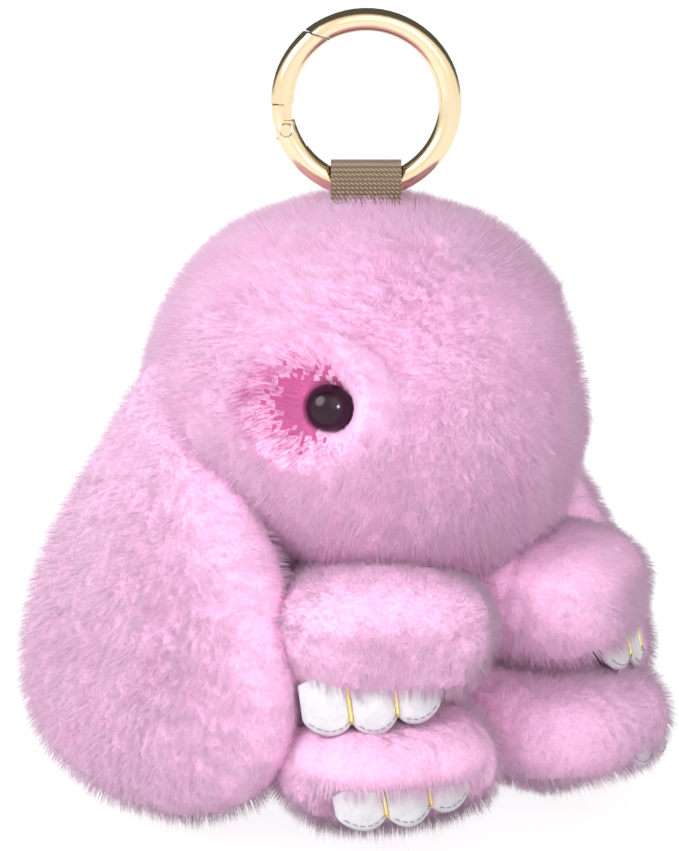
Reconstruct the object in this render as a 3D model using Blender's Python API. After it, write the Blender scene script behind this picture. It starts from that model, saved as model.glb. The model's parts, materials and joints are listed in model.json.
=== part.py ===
"""Plush rabbit keychain: a sprung snap ring, a webbing loop and a soft toy sewn from fur fabric.

The toy faces -Y, its own left is +X and up is +Z. The origin is the top of the ring's opening,
where the ring hangs on a hook or a bag handle. Sizes are in millimetres until a mesh is made.
"""

import bmesh
import bpy
from math import cos, pi, radians, sin, tan
from mathutils import Matrix, Vector

MM = 0.001
GAP = 0.3                      # clearance between neighbouring pieces

# Snap ring
WIRE_RADIUS = 2.0
RING_RADIUS = 14.5             # to the middle of the wire
RING_TURN = radians(-40)       # the ring and its loop are turned from the toy's face
RING_CENTRE_Z = WIRE_RADIUS - RING_RADIUS
RING_BOTTOM_Z = RING_CENTRE_Z - RING_RADIUS
SEAM_ANGLE = radians(180)      # hinge end of the gate
TIP_ANGLE = radians(125)       # free end of the gate
RIVET_ANGLE = radians(197.6)
RIVET_RADIUS = 1.0
RIVET_HOLE_RADIUS = RIVET_RADIUS + GAP
SLOT_HALF_WIDTH = 0.8
TONGUE_HALF_WIDTH = 0.5
TONGUE_EYE_RADIUS = 1.75
WIRE_SIDES = 14
GATE_TIP_GAP = 1.4             # at the slanted tip, in clearances
SLOT_FLOOR_WALL = 0.7          # clear space under the tongue's eye
WINDOW_SILL = 1.5              # above the rivet, where the wire is cut away for the gate
SPRING_THICKNESS = 0.35
SPRING_HALF_WIDTH = 0.5

# Webbing loop
WEB_WIDTH = 12.2
WEB_THICKNESS = 0.8
WEB_LOOP_RADIUS = 3.7          # inside, wide enough for the curved wire to turn in
WEB_TAIL_Z = -44.5
WEB_JOIN_Z = -33.5
WEB_TAIL_SPACING = 1.2         # between the middles of the two plies

# Head
HEAD_CENTRE = Vector((0, 0, -64.4))
HEAD_SEMI = Vector((31, 30.5, 27.5))
SKIN = 2.0                     # fur fabric with its pressed-down pile
EYE_AZIMUTH = radians(51.7)    # each side of straight ahead
EYE_ELEVATION = radians(9)
EYE_RADIUS = 4.0
EYE_HEIGHT = 3.4
SHANK_RADIUS = 1.1
SHANK_LENGTH = 8.5
SHANK_HOLE_RADIUS = 1.5
WASHER_RADIUS = 5.0
WASHER_THICKNESS = 1.0
WASHER_DEPTH = 2.9             # below the outside of the head

# Body and tail
BODY_CENTRE = Vector((0, 16.5, -98))
BODY_SEMI = Vector((24, 20, 22))
TAIL_HINGE = Vector((0, 43.3, -106))
TAIL_RADIUS = 7.0

# Ears
EAR_ROOT = Vector((32.6, 12.5, -62))
EAR_LENGTH = 70.5
EAR_HALF_WIDTH = 25.3
EAR_HALF_THICKNESS = 5.0
EAR_FLARE = radians(16)
EAR_TURN = radians(10.4)
EAR_SWEEP = 0.165              # forward, for each unit down
EAR_PIVOT_DROP = 5.0           # from the ear's top end to its sewn line

# Paws: length is measured ahead of the root, and the toes of a hind paw are lower and flatter
FRONT_PAW = dict(root=Vector((10, -11.9, -96.4)), splay=radians(32), length=29.0, half_width=14.5,
                 half_height=9.2, toe_height=9.2, root_scale=0.65, droop=0.0, bluntness=0.5)
HIND_PAW = dict(root=Vector((11.2, -4.3, -114.9)), splay=radians(22), length=42.0, half_width=15.5,
                half_height=7.8, toe_height=5.4, root_scale=0.62, droop=4.0, bluntness=0.6)
LEFT_HIND_SPLAY = radians(12)  # the left hind paw lies closer to straight ahead
PAW_BACK = 8.0                 # from the root to the rounded end behind it
PAW_SIDES = 12
SLEEVE = 1.6                   # fabric thickness of a paw

# Toe pads
PAD_HALF_WIDTH = 11.7
PAD_THICKNESS = 1.1
TOE_WIDTH = 7.8
PAD_BEND_RADIUS = 26.0
PAD_LEAN = radians(15)
TOE_DROP = 2.6
MIDDLE_TOE_DROP = 0.8
# Ahead of the paw's root, height of the top edge, length down, shift and tilt to the outside
FRONT_PAD = dict(forward=30.0, top=-3.6, height=11.2, shift=4.2, roll=radians(6))
HIND_PAD = dict(forward=42.8, top=-1.5, height=8.8, shift=2.0, roll=radians(7))
THREAD_RADIUS = 0.28

FUR_PINK = (0.90, 0.52, 0.74)
LINING_PINK = (0.80, 0.45, 0.62)


def material(name, colour, roughness, metallic=0.0):
    made = bpy.data.materials.new(name)
    made.use_nodes = True
    shader = made.node_tree.nodes["Principled BSDF"]
    shader.inputs["Base Color"].default_value = (*colour, 1.0)
    shader.inputs["Roughness"].default_value = roughness
    shader.inputs["Metallic"].default_value = metallic
    return made


def add_object(name, mesh, look=None, parent=None, place=(0, 0, 0)):
    """Link a mesh as an object, with its place in millimetres under its parent."""
    made = bpy.data.objects.new(name, mesh)
    made.location = Vector(place) * MM
    made.parent = parent
    if look is not None:
        mesh.materials.append(look)
    bpy.context.scene.collection.objects.link(made)
    return made


def add_frame(name, place, turn=0.0, flare=0.0, parent=None):
    """An empty on a joint's axis: turned about Z, then leaned about its own Y."""
    frame = bpy.data.objects.new(name, None)
    frame.empty_display_size = 0.01
    frame.rotation_euler = (0, flare, turn)
    frame.location = Vector(place) * MM
    frame.parent = parent
    bpy.context.scene.collection.objects.link(frame)
    return frame


def finish_mesh(name, bm, sharp_angle=radians(35)):
    bmesh.ops.recalc_face_normals(bm, faces=bm.faces)
    mesh = bpy.data.meshes.new(name)
    bm.to_mesh(mesh)
    bm.free()
    mesh.shade_smooth()
    mesh.set_sharp_from_angle(angle=sharp_angle)
    return mesh


def loft(name, rings, cyclic=False, capped=True):
    """Skin a list of point rings (millimetres), joined in order, closed with flat caps."""
    bm = bmesh.new()
    rows = [[bm.verts.new(Vector(point) * MM) for point in ring] for ring in rings]
    pairs = list(zip(rows, rows[1:]))
    if cyclic:
        pairs.append((rows[-1], rows[0]))
    sides = len(rings[0])
    for low, high in pairs:
        for side in range(sides):
            after = (side + 1) % sides
            bm.faces.new((low[side], low[after], high[after], high[side]))
    if capped and not cyclic:
        bm.faces.new(rows[0])
        bm.faces.new(rows[-1])
    return finish_mesh(name, bm)


def circle(radius, height, sides):
    """Points of a circle about Z."""
    angles = [2 * pi * side / sides for side in range(sides)]
    return [(radius * cos(angle), radius * sin(angle), height) for angle in angles]


def turned(name, profile, sides, cyclic=False):
    """Turn a profile of (radius, height) points about Z."""
    return loft(name, [circle(radius, height, sides) for radius, height in profile], cyclic)


def box_mesh(name, low, high):
    bm = bmesh.new()
    size = Vector(high) - Vector(low)
    middle = (Vector(high) + Vector(low)) / 2
    shape = Matrix.Translation(middle * MM) @ Matrix.Diagonal((*(size * MM), 1.0))
    bmesh.ops.create_cube(bm, size=1.0, matrix=shape)
    return finish_mesh(name, bm)


def ellipsoid_mesh(name, semi, columns, rows):
    bm = bmesh.new()
    shape = Matrix.Diagonal((*(Vector(semi) * MM), 1.0))
    bmesh.ops.create_uvsphere(bm, u_segments=columns, v_segments=rows, radius=1.0, matrix=shape)
    return finish_mesh(name, bm)


def hide_as_guide(thing):
    thing.hide_render = True
    thing.display_type = "WIRE"
    return thing


def boolean(target, tool, operation="DIFFERENCE"):
    hide_as_guide(tool)
    step = target.modifiers.new(operation.title(), "BOOLEAN")
    step.operation = operation
    step.solver = "EXACT"
    step.object = tool


def hollow(target, thickness):
    step = target.modifiers.new("Skin", "SOLIDIFY")
    step.thickness = thickness * MM
    step.offset = -1


def signed_power(value, power):
    return abs(value) ** power * (1 if value >= 0 else -1)


def smooth(value):
    clamped = min(max(value, 0.0), 1.0)
    return clamped * clamped * (3 - 2 * clamped)


def aimed(thing, direction):
    """Turn an object made about Z so that its Z runs along a direction."""
    thing.rotation_mode = "QUATERNION"
    thing.rotation_quaternion = direction.to_track_quat("Z", "Y")


# ---------------------------------------------------------------- snap ring

def ring_point(angle, outward=0.0, across=0.0, along=0.0):
    """A point by its angle about the ring's centre, in the ring's own XZ plane."""
    reach = RING_RADIUS + outward
    return (reach * cos(angle) - along * sin(angle), across, reach * sin(angle) + along * cos(angle))


def wire_rings(start, end, steps, tip_at_start=False, tip_at_end=False):
    """Sections of the wire. A tip's end face is square to the line from the rivet, so it can swing."""
    slant = tan((RIVET_ANGLE - TIP_ANGLE) / 2)
    fade_steps = 4
    rings = []
    for step in range(steps + 1):
        angle = start + (end - start) * step / steps
        share = 0.0
        if tip_at_start:
            share = max(0.0, 1 - step / fade_steps)
        if tip_at_end:
            share = max(0.0, 1 - (steps - step) / fade_steps)
        ring = []
        for side in range(WIRE_SIDES):
            about = 2 * pi * side / WIRE_SIDES
            outward = WIRE_RADIUS * cos(about)
            across = WIRE_RADIUS * sin(about)
            ring.append(ring_point(angle, outward, across, outward * slant * share))
        rings.append(ring)
    return rings


def rivet_cylinder(name, radius, half_length, sides=16):
    """A cylinder along the ring's Y, made about the rivet's own centre."""
    thing = add_object(name, turned(name, [(radius, -half_length), (radius, half_length)], sides))
    thing.rotation_euler = (pi / 2, 0, 0)
    return thing


def build_ring(gold, steel):
    frame = add_frame("ring_frame", (0, 0, RING_CENTRE_Z), RING_TURN)
    rivet = Vector(ring_point(RIVET_ANGLE))
    half_gap = GAP / 2 / RING_RADIUS
    gate_hinge = add_frame("gate_hinge", rivet, parent=frame)

    body_start = SEAM_ANGLE + half_gap
    body_end = TIP_ANGLE - GATE_TIP_GAP * half_gap + 2 * pi
    wire = wire_rings(body_start, body_end, 56, tip_at_end=True)
    body = add_object("ring_body", loft("ring_body", wire), gold, frame)
    slot_floor = rivet.z - TONGUE_EYE_RADIUS - 2 * GAP - SLOT_FLOOR_WALL
    slot = add_object("cut_slot", box_mesh("cut_slot", (-19, -SLOT_HALF_WIDTH, slot_floor),
                                           (-9, SLOT_HALF_WIDTH, 1)), parent=frame)
    window = add_object("cut_window", box_mesh("cut_window", (-14.2, -3, rivet.z + WINDOW_SILL),
                                               (-9, 3, 1)), parent=frame)
    hole = rivet_cylinder("cut_rivet_hole", RIVET_HOLE_RADIUS, 4)
    hole.parent = gate_hinge
    for cutter in (slot, window, hole):
        boolean(body, cutter)

    gate_start = TIP_ANGLE + GATE_TIP_GAP * half_gap
    gate_end = SEAM_ANGLE - half_gap
    gate_rings = wire_rings(gate_start, gate_end, 12, tip_at_start=True)
    to_hinge = Vector(rivet)
    gate_rings = [[Vector(point) - to_hinge for point in ring] for ring in gate_rings]
    gate = add_object("ring_gate", loft("ring_gate", gate_rings), gold, gate_hinge)
    tongue = add_object("join_tongue", box_mesh("join_tongue", (-1.3, -TONGUE_HALF_WIDTH, 0),
                                                (1.0, TONGUE_HALF_WIDTH, -rivet.z + WINDOW_SILL)),
                        parent=gate_hinge)
    eye = rivet_cylinder("join_tongue_eye", TONGUE_EYE_RADIUS, TONGUE_HALF_WIDTH)
    eye.parent = gate_hinge
    boolean(gate, tongue, "UNION")
    boolean(gate, eye, "UNION")
    boolean(gate, hole)

    pin = rivet_cylinder("gate_rivet", RIVET_RADIUS, WIRE_RADIUS + 0.15, sides=20)
    pin.data.materials.append(steel)
    pin.parent = gate_hinge

    inner = TONGUE_EYE_RADIUS + GAP
    outer = inner + SPRING_THICKNESS
    leaf_rings = []
    for step in range(9):
        angle = radians(-135 + 90 * step / 8)
        leaf_rings.append([(reach * cos(angle), across, reach * sin(angle))
                           for reach, across in ((inner, -SPRING_HALF_WIDTH), (outer, -SPRING_HALF_WIDTH),
                                                 (outer, SPRING_HALF_WIDTH), (inner, SPRING_HALF_WIDTH))])
    add_object("gate_spring", loft("gate_spring", leaf_rings), steel, gate_hinge)


# ---------------------------------------------------------------- webbing loop

def webbing_path():
    """Middle line of the strip in the loop's own YZ plane, from one tail end to the other."""
    middle_radius = WEB_LOOP_RADIUS + WEB_THICKNESS / 2
    centre_z = RING_BOTTOM_Z + 0.25
    tail = WEB_TAIL_SPACING / 2
    arc = []
    for step in range(21):
        angle = radians(-48 + 276 * step / 20)
        arc.append((middle_radius * cos(angle), centre_z + middle_radius * sin(angle)))
    return ([(tail, WEB_TAIL_Z), (tail, -39.0), (tail, WEB_JOIN_Z)] + arc
            + [(-tail, WEB_JOIN_Z), (-tail, -39.0), (-tail, WEB_TAIL_Z)])


def strip_rings(path, width, thickness):
    """Rectangular sections that follow a path of (y, z) points, wide along X."""
    rings = []
    for index, point in enumerate(path):
        before = Vector(path[max(index - 1, 0)])
        after = Vector(path[min(index + 1, len(path) - 1)])
        along = (after - before).normalized()
        normal = Vector((-along.y, along.x)) * thickness / 2
        left = Vector(point) + normal
        right = Vector(point) - normal
        rings.append([(-width / 2, left.x, left.y), (width / 2, left.x, left.y),
                      (width / 2, right.x, right.y), (-width / 2, right.x, right.y)])
    return rings


def build_loop(webbing, thread):
    frame = add_frame("loop_frame", (0, 0, 0), RING_TURN)
    mesh = loft("webbing_loop", strip_rings(webbing_path(), WEB_WIDTH, WEB_THICKNESS))
    add_object("webbing_loop", mesh, webbing, frame)

    half_width = WEB_WIDTH / 2 + GAP
    half_depth = (WEB_TAIL_SPACING + WEB_THICKNESS) / 2 + GAP
    wall = 0.7
    rings = []
    for grow, height in ((0, -43.4), (wall, -43.4), (wall, -41.4), (0, -41.4)):
        across = half_width + grow
        deep = half_depth + grow
        rings.append([(-across, -deep, height), (across, -deep, height),
                      (across, deep, height), (-across, deep, height)])
    add_object("loop_stitch", loft("loop_stitch", rings, cyclic=True), thread, frame)
    return frame


# ---------------------------------------------------------------- head and body

def eye_seat(side):
    """Point on the head's surface, and the surface's normal there."""
    unit = Vector((side * cos(EYE_ELEVATION) * sin(EYE_AZIMUTH),
                   -cos(EYE_ELEVATION) * cos(EYE_AZIMUTH), sin(EYE_ELEVATION)))
    point = Vector([a * b for a, b in zip(unit, HEAD_SEMI)])
    normal = Vector([a / b for a, b in zip(unit, HEAD_SEMI)]).normalized()
    return HEAD_CENTRE + point, normal


def eye_profile():
    """Shank, flat back and dome of a bead eye, from its inner end outwards."""
    dome = []
    for step in range(7):
        angle = radians(84 * step / 6)
        dome.append((EYE_RADIUS * cos(angle), GAP + 0.6 + (EYE_HEIGHT - 0.6) * sin(angle)))
    return [(SHANK_RADIUS, -SHANK_LENGTH), (SHANK_RADIUS, GAP), (EYE_RADIUS - 0.4, GAP)] + dome


def build_eye(side, name, bead, plastic, shell, stuffing):
    seat, normal = eye_seat(side)
    eye = add_object(f"eye_{name}", turned(f"eye_{name}", eye_profile(), 20), bead, place=seat)
    washer_back = -WASHER_DEPTH - WASHER_THICKNESS
    washer_profile = [(SHANK_HOLE_RADIUS, -WASHER_DEPTH), (SHANK_HOLE_RADIUS, washer_back),
                      (WASHER_RADIUS, washer_back), (WASHER_RADIUS, -WASHER_DEPTH)]
    washer = add_object(f"eye_washer_{name}", turned(f"eye_washer_{name}", washer_profile, 16, cyclic=True),
                        plastic, place=seat)
    hole = add_object(f"cut_shank_{name}",
                      turned(f"cut_shank_{name}", [(SHANK_HOLE_RADIUS, -6), (SHANK_HOLE_RADIUS, 4)], 12),
                      place=seat)
    pocket_radius = WASHER_RADIUS + 0.5
    pocket_profile = [(pocket_radius, -SHANK_LENGTH - 2 * GAP), (pocket_radius, 4)]
    pocket = add_object(f"cut_pocket_{name}", turned(f"cut_pocket_{name}", pocket_profile, 16), place=seat)
    for thing in (eye, washer, hole, pocket):
        aimed(thing, normal)
    boolean(shell, hole)
    boolean(stuffing, pocket)


def build_head(fur, wadding, loop_frame):
    shell = add_object("head_shell", ellipsoid_mesh("head_shell", HEAD_SEMI, 28, 16), fur,
                       place=HEAD_CENTRE)
    hollow(shell, SKIN)
    inner = HEAD_SEMI - Vector((1, 1, 1)) * (SKIN + 2 * GAP)
    stuffing = add_object("head_stuffing", ellipsoid_mesh("head_stuffing", inner, 22, 12), wadding,
                          place=HEAD_CENTRE)
    slit_x = WEB_WIDTH / 2 + 0.4
    slit_y = (WEB_TAIL_SPACING + WEB_THICKNESS) / 2 + 0.4
    slit = add_object("cut_slit", box_mesh("cut_slit", (-slit_x, -slit_y, -44), (slit_x, slit_y, -30)),
                      parent=loop_frame)
    pocket = add_object("cut_loop_pocket", box_mesh("cut_loop_pocket", (-7.6, -2.6, -45.2), (7.6, 2.6, -30)),
                        parent=loop_frame)
    boolean(shell, slit)
    boolean(stuffing, pocket)
    return shell, stuffing


def build_body(fur, wadding):
    """The body is a bag whose open neck fits round the underside of the head."""
    shell = add_object("body_shell", ellipsoid_mesh("body_shell", BODY_SEMI, 24, 14), fur, place=BODY_CENTRE)
    hollow(shell, SKIN)
    inner = BODY_SEMI - Vector((1, 1, 1)) * (SKIN + 2 * GAP)
    stuffing = add_object("body_stuffing", ellipsoid_mesh("body_stuffing", inner, 20, 12), wadding,
                          place=BODY_CENTRE)
    head_room = HEAD_SEMI + Vector((1, 1, 1)) * 2 * GAP
    neck = add_object("cut_neck", ellipsoid_mesh("cut_neck", head_room, 28, 16), place=HEAD_CENTRE)
    boolean(shell, neck)
    boolean(stuffing, neck)


# ---------------------------------------------------------------- ears

def ear_rings(side, outer):
    """Sections of one fur panel: a half lens, flat on the side that is sewn to the other panel."""
    rings = []
    steps = 15
    away = side if outer else -side
    for step in range(steps + 1):
        share = 0.012 + 0.976 * (step / steps) ** 0.8
        top_round = min(1.0, share / 0.06) ** 0.5
        tip_round = (1 - max(0.0, (share - 0.72) / 0.28) ** 2.6) ** 0.5
        half_width = EAR_HALF_WIDTH * (0.22 + 0.78 * smooth(share / 0.72)) * top_round * tip_round
        thickness = EAR_HALF_THICKNESS * (0.36 + 0.64 * smooth(share / 0.5)) * top_round * tip_round
        height = EAR_PIVOT_DROP - share * EAR_LENGTH
        middle = -EAR_SWEEP * (share * EAR_LENGTH - EAR_PIVOT_DROP)
        ring = []
        for corner in range(9):
            angle = -pi / 2 + pi * corner / 8
            ring.append((away * (GAP / 2 + thickness * cos(angle)), middle + half_width * sin(angle), height))
        rings.append(ring)
    return rings


def build_ear(side, name, fur, lining):
    """Hinge line on the frame's Y, along the ear's sewn root."""
    frame = add_frame(f"ear_frame_{name}", (side * EAR_ROOT.x, EAR_ROOT.y, EAR_ROOT.z),
                      -side * EAR_TURN, -side * EAR_FLARE)
    for panel, outer, look in (("outer", True, fur), ("inner", False, lining)):
        label = f"ear_{panel}_{name}"
        add_object(label, loft(label, ear_rings(side, outer)), look, frame)


# ---------------------------------------------------------------- paws

def paw_ring(paw, angle, inset):
    """One section of a paw. The angle runs from 0 at the rounded root to pi at the toes."""
    half_length = (paw["length"] + PAW_BACK) / 2
    middle = (paw["length"] - PAW_BACK) / 2
    power = paw["bluntness"] if angle > pi / 2 else max(paw["bluntness"], 0.8)
    ahead = middle - (half_length - inset) * signed_power(cos(angle), power)
    swell = abs(sin(angle)) ** power
    taper = paw["root_scale"] + (1 - paw["root_scale"]) * smooth((ahead + PAW_BACK) / (1.6 * half_length))
    toward_toes = smooth(ahead / (0.8 * paw["length"]))
    tall = paw["half_height"] + (paw["toe_height"] - paw["half_height"]) * toward_toes
    half_width = (paw["half_width"] * taper - inset) * swell
    half_height = (tall * taper - inset) * swell
    sink = paw["droop"] * toward_toes
    ring = []
    for side in range(PAW_SIDES):
        about = 2 * pi * side / PAW_SIDES
        ring.append((half_width * signed_power(cos(about), 0.85), -ahead,
                     half_height * signed_power(sin(about), 0.85) - sink))
    return ring


def paw_sleeve(name, paw):
    """A fabric sleeve, closed at the toes and open at the root where it is sewn to the body."""
    steps = 10
    mouth = 0.62
    end = pi - 0.09
    angles = [mouth + (end - mouth) * step / steps for step in range(steps + 1)]
    outside = [paw_ring(paw, angle, 0.0) for angle in angles]
    inside = [paw_ring(paw, angle, SLEEVE) for angle in reversed(angles)]
    bm = bmesh.new()
    rows = [[bm.verts.new(Vector(point) * MM) for point in ring] for ring in outside + inside]
    pairs = [pair for index, pair in enumerate(zip(rows, rows[1:])) if index != steps]
    pairs.append((rows[-1], rows[0]))
    for low, high in pairs:
        for side in range(PAW_SIDES):
            after = (side + 1) % PAW_SIDES
            bm.faces.new((low[side], low[after], high[after], high[side]))
    bm.faces.new(rows[steps])
    bm.faces.new(rows[steps + 1])
    return finish_mesh(name, bm)


def paw_stuffing(name, paw):
    steps = 8
    mouth = 0.66
    end = pi - 0.12
    angles = [mouth + (end - mouth) * step / steps for step in range(steps + 1)]
    return loft(name, [paw_ring(paw, angle, SLEEVE + 1.2 * GAP) for angle in angles])


def pad_point(across, drop, forward, proud):
    """A point on a toe pad: across it, down from its top edge, and proud of its back face."""
    bend = across * across / (2 * PAD_BEND_RADIUS)
    return (across, -(forward - bend + drop * sin(PAD_LEAN) + proud), -drop * cos(PAD_LEAN))


def toe_edge(across, height):
    """How far down the scalloped edge lies: three round toes, the middle one lowest."""
    toe = abs(cos(pi * across / TOE_WIDTH)) ** 0.6
    middle = cos(pi * across / (2 * PAD_HALF_WIDTH)) ** 2
    return height - TOE_DROP * (1 - toe) - MIDDLE_TOE_DROP * (1 - middle)


def build_toes(side, label, parent, pad, leatherette, gold_thread):
    """A curved pad with three toes, and the two threads that draw the gaps between them."""
    columns = 18
    rings = []
    forward, height = pad["forward"], pad["height"]
    tilt = Matrix.Rotation(side * pad["roll"], 4, "Y")
    for column in range(columns + 1):
        across = -PAD_HALF_WIDTH + 2 * PAD_HALF_WIDTH * column / columns
        low = toe_edge(across, height)
        shoulder = 2.2 * abs(across / PAD_HALF_WIDTH) ** 3
        drops = (shoulder, (shoulder + low) / 2, low)
        ring = [pad_point(across, drop, forward, PAD_THICKNESS) for drop in drops]
        ring += [pad_point(across, drop, forward, 0.0) for drop in reversed(drops)]
        rings.append([tilt @ Vector(point) for point in ring])
    place = (side * pad["shift"], 0, pad["top"])
    add_object(f"toe_pad_{label}", loft(f"toe_pad_{label}", rings), leatherette, parent, place)

    for toe_side, which in ((-1, "a"), (1, "b")):
        across = toe_side * TOE_WIDTH / 2
        rings = []
        for step in range(6):
            drop = 0.6 + (toe_edge(across, height) - 0.6) * step / 5
            proud = PAD_THICKNESS + GAP + THREAD_RADIUS
            middle = Vector(pad_point(across, drop, forward, proud))
            around = [Vector((cos(2 * pi * k / 6), sin(2 * pi * k / 6), 0)) for k in range(6)]
            rings.append([tilt @ (middle + spoke * THREAD_RADIUS) for spoke in around])
        name = f"toe_thread_{label}_{which}"
        add_object(name, loft(name, rings), gold_thread, parent, place)


def build_paw(side, label, paw, pad, looks):
    fur, wadding, leatherette, gold_thread = looks
    root = paw["root"]
    frame = add_frame(f"paw_frame_{label}", (side * root.x, root.y, root.z), side * paw["splay"])
    add_object(f"paw_sleeve_{label}", paw_sleeve(f"paw_sleeve_{label}", paw), fur, frame)
    add_object(f"paw_stuffing_{label}", paw_stuffing(f"paw_stuffing_{label}", paw), wadding, frame)
    build_toes(side, label, frame, pad, leatherette, gold_thread)


def build_tail(fur, wadding):
    tail = dict(root=TAIL_HINGE, splay=pi, length=TAIL_RADIUS, half_width=TAIL_RADIUS,
                half_height=TAIL_RADIUS, toe_height=TAIL_RADIUS, root_scale=1.0, droop=0.0,
                bluntness=1.0)
    frame = add_frame("tail_frame", TAIL_HINGE, pi)
    add_object("tail_shell", paw_sleeve("tail_shell", tail), fur, frame)
    add_object("tail_stuffing", paw_stuffing("tail_stuffing", tail), wadding, frame)


def main():
    for thing in list(bpy.data.objects):
        bpy.data.objects.remove(thing, do_unlink=True)

    gold = material("champagne_gold", (0.83, 0.68, 0.42), 0.12, 1.0)
    steel = material("spring_steel", (0.72, 0.66, 0.55), 0.25, 1.0)
    webbing = material("taupe_webbing", (0.30, 0.22, 0.15), 0.85)
    stitch = material("polyester_thread", (0.45, 0.36, 0.28), 0.7)
    fur = material("pink_fur", FUR_PINK, 0.95)
    lining = material("pink_fur_inner", LINING_PINK, 0.95)
    wadding = material("white_wadding", (0.92, 0.92, 0.90), 1.0)
    bead = material("black_bead", (0.015, 0.008, 0.012), 0.08)
    plastic = material("washer_plastic", (0.85, 0.85, 0.83), 0.45)
    leatherette = material("white_leatherette", (0.85, 0.83, 0.84), 0.45)
    gold_thread = material("gold_thread", (0.75, 0.60, 0.22), 0.35, 0.6)

    build_ring(gold, steel)
    loop_frame = build_loop(webbing, stitch)
    shell, stuffing = build_head(fur, wadding, loop_frame)
    build_body(fur, wadding)
    build_tail(fur, wadding)

    looks = (fur, wadding, leatherette, gold_thread)
    for side, name in ((-1, "right"), (1, "left")):
        build_eye(side, name, bead, plastic, shell, stuffing)
        build_ear(side, name, fur, lining)
        build_paw(side, f"front_{name}", FRONT_PAW, FRONT_PAD, looks)
        hind_paw = dict(HIND_PAW, splay=LEFT_HIND_SPLAY) if side > 0 else HIND_PAW
        build_paw(side, f"hind_{name}", hind_paw, HIND_PAD, looks)


main()
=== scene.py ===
"""Looks of a plush rabbit keychain: fur, leatherette toes, a woven loop and a plated snap ring.

Lengths written as N * MM are in millimetres. The toy faces -Y and +Z is up.
"""

import json
from math import cos, pi, radians, sin, sqrt

import bmesh
import bpy
import numpy as np
from mathutils import Matrix, Vector


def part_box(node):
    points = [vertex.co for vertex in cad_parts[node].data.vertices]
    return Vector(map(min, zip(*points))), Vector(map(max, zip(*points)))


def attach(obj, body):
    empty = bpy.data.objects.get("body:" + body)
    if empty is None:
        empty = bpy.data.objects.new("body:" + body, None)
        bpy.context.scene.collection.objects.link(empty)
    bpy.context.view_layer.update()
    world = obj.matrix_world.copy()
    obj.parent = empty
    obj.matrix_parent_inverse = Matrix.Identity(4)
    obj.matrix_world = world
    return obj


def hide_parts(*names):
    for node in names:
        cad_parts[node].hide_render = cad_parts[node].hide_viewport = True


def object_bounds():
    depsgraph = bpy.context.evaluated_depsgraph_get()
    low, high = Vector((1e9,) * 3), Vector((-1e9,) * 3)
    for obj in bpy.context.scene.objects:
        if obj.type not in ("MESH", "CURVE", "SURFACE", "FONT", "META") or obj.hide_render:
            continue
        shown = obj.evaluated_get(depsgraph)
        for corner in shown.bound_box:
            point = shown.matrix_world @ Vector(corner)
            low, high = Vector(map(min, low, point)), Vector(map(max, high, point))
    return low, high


MM = 0.001
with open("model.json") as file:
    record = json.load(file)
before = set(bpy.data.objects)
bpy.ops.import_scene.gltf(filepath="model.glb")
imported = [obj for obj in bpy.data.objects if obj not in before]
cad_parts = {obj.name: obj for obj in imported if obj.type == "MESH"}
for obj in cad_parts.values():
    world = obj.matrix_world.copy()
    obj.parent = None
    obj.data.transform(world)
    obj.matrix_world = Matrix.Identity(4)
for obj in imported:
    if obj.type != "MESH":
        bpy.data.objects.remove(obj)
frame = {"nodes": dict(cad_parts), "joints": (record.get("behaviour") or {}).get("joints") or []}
cad_low, cad_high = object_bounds()
nodes = frame["nodes"]

# ---------------------------------------------------------------- camera

VIEW_AZIMUTH = radians(-40)
VIEW_ELEVATION = radians(13)
VIEW_DISTANCE = 0.6
VIEW_LENS = 147
AIM_SIDE = -4.6 * MM          # from the ring's middle, along the picture
AIM_UP = -55.6 * MM



def direction(azimuth, elevation):
    """From the toy towards a place at these angles: azimuth 0 is straight ahead of it, and positive to +X."""
    return Vector((sin(azimuth) * cos(elevation), -cos(azimuth) * cos(elevation), sin(elevation)))


FACING = direction(VIEW_AZIMUTH, VIEW_ELEVATION)
PICTURE_RIGHT = Vector((cos(VIEW_AZIMUTH), sin(VIEW_AZIMUTH), 0))
PICTURE_UP = FACING.cross(PICTURE_RIGHT)


def box_middle(name):
    low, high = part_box(name)
    return (Vector(low) + Vector(high)) / 2


def box_size(name):
    low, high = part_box(name)
    return Vector(high) - Vector(low)


def add_object(name, data):
    made = bpy.data.objects.new(name, data)
    bpy.context.scene.collection.objects.link(made)
    return made


def look_back(made, target, away, distance):
    """Puts a camera or a light at a distance from its target, looking at it."""
    made.location = target + away * distance
    made.rotation_mode = "QUATERNION"
    made.rotation_quaternion = (-away).to_track_quat("-Z", "Y")


def make_camera():
    low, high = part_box("ring_body")
    ring_middle = Vector((0, 0, (low[2] + high[2]) / 2))
    aim = ring_middle + PICTURE_RIGHT * AIM_SIDE + PICTURE_UP * AIM_UP
    lens = bpy.data.cameras.new("camera")
    lens.lens = VIEW_LENS
    lens.sensor_width = 36
    lens.clip_start = 0.01
    lens.clip_end = 20
    camera = add_object("camera", lens)
    look_back(camera, aim, FACING, VIEW_DISTANCE)
    bpy.context.scene.camera = camera


make_camera()

# ---------------------------------------------------------------- materials


def new_material(name, colour, roughness, metallic=0.0, **plain):
    """A Principled material; plain values are sockets set by name, with _ for a space."""
    made = bpy.data.materials.new(name)
    made.use_nodes = True
    shader = made.node_tree.nodes["Principled BSDF"]
    shader.inputs["Base Color"].default_value = (*colour, 1)
    shader.inputs["Roughness"].default_value = roughness
    shader.inputs["Metallic"].default_value = metallic
    for socket, value in plain.items():
        shader.inputs[socket.replace("_", " ")].default_value = value
    return made


def add_node(material, kind, **settings):
    """A shader node; in_NAME sets an input socket, other names set the node's own settings."""
    made = material.node_tree.nodes.new(kind)
    for key, value in settings.items():
        if key.startswith("in_"):
            made.inputs[key[3:].replace("_", " ")].default_value = value
        else:
            setattr(made, key, value)
    return made


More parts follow.
